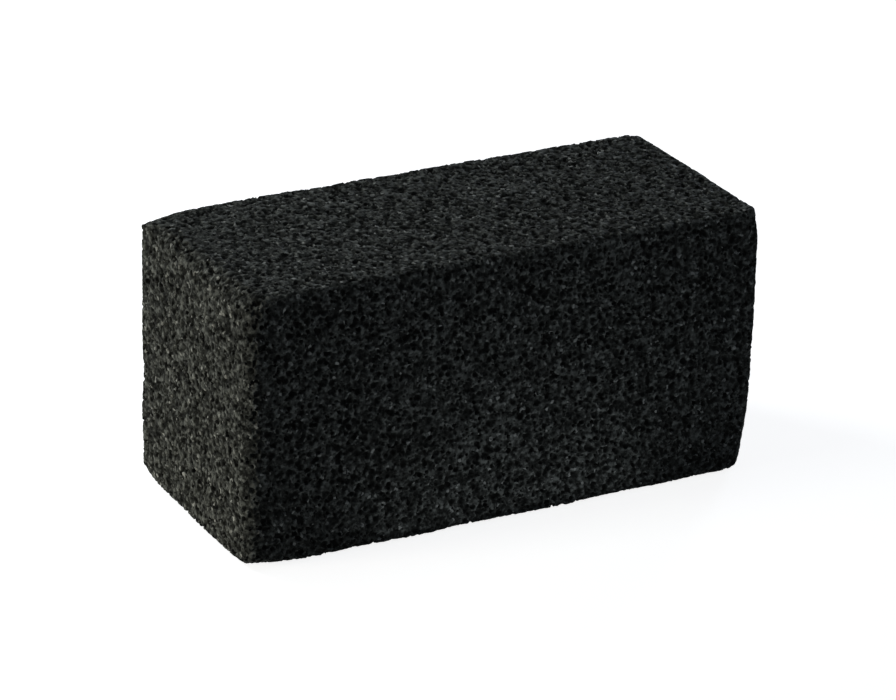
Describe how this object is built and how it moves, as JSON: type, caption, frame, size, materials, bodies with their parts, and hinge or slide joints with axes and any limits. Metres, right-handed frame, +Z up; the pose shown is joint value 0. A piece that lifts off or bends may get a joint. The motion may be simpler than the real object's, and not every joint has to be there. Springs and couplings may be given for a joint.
{
  "type": "grill brick",
  "caption": "Rectangular block of black foamed glass with an open-celled surface and worn edges, for scouring a hot griddle; it stands on a flat long face.",
  "frame": {"origin": "middle of the flat face that the brick stands on", "axes": "+X along the length, +Y across the width, +Z up from the face that it stands on"},
  "size_m": [0.2032, 0.0888, 0.1016],
  "materials": {
    "foamed_glass": "matt charcoal black, coarse open cells cut through by the saw, with paler grey rims"
  },
  "bodies": {
    "root": {"brick": "foamed_glass"}
  },
  "joints": []
}
